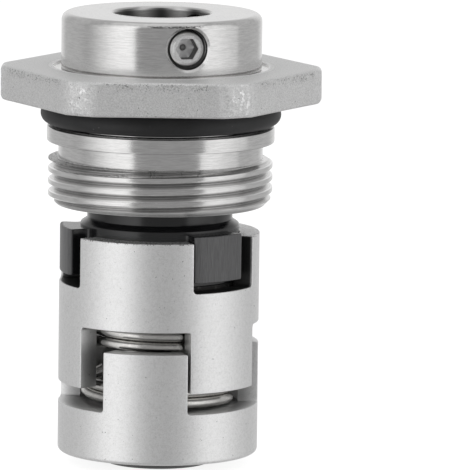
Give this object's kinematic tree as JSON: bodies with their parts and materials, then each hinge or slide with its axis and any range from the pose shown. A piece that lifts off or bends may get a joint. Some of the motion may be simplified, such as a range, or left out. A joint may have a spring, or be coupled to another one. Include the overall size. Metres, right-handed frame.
{
  "type": "cartridge mechanical seal",
  "caption": "Cartridge mechanical seal for a pump shaft: hexagonal threaded gland, clamping collar with set screws, spring-loaded silicon carbide faces and castellated drive sleeves.",
  "frame": {"origin": "centre of the shaft sleeve's lower end face, on the shaft axis", "axes": "+Z along the shaft axis towards the drive collar, -Y towards the front of the picture"},
  "size_m": [0.04, 0.0362, 0.0565],
  "materials": {
    "turned_steel": "fine turned stainless steel, brushed round the axis",
    "blasted_steel": "satin blasted stainless steel",
    "cast_steel": "blasted precision casting, turned below the hexagon",
    "spring_wire": "drawn polished stainless wire",
    "screw_steel": "bright stainless screw",
    "carbide": "lapped and ground black silicon carbide",
    "rubber": "satin black moulded rubber"
  },
  "bodies": {
    "shaft_unit": {"shaft_sleeve": "turned_steel", "seal_driver": "blasted_steel", "retaining_ring": "spring_wire", "shaft_o_ring": "rubber", "spring": "spring_wire"},
    "rotating_head": {"torque_sleeve": "blasted_steel", "thrust_ring": "spring_wire", "rotating_ring": "carbide", "rotating_o_ring": "rubber"},
    "gland_unit": {"gland": "cast_steel", "gland_o_ring": "rubber", "stationary_ring": "carbide", "stationary_o_ring": "rubber", "anti_rotation_pin": "spring_wire"},
    "screw_1": {"set_screw_1": "screw_steel"},
    "screw_2": {"set_screw_2": "screw_steel"},
    "screw_3": {"set_screw_3": "screw_steel"}
  },
  "joints": [
    {"name": "face_travel", "type": "slide", "parent": "shaft_unit", "child": "rotating_head", "axis": [0, 0, 1], "range_m": [-0.00255, 0], "stiffness_N_per_m": 4200, "springref_m": 0.0057, "deforming": ["spring"]},
    {"name": "gland_spin", "type": "hinge", "parent": "rotating_head", "child": "gland_unit", "pos_m": [0, 0, 0.0308], "axis": [0, 0, 1], "continuous": true},
    {"name": "screw_1_travel", "type": "slide", "parent": "shaft_unit", "child": "screw_1", "axis": [0.2689, -0.9632, 0], "range_m": [-0.0008, 0.004]},
    {"name": "screw_2_travel", "type": "slide", "parent": "shaft_unit", "child": "screw_2", "axis": [0.6997, 0.7145, 0], "range_m": [-0.0008, 0.004]},
    {"name": "screw_3_travel", "type": "slide", "parent": "shaft_unit", "child": "screw_3", "axis": [-0.9686, 0.2487, 0], "range_m": [-0.0008, 0.004]}
  ]
}
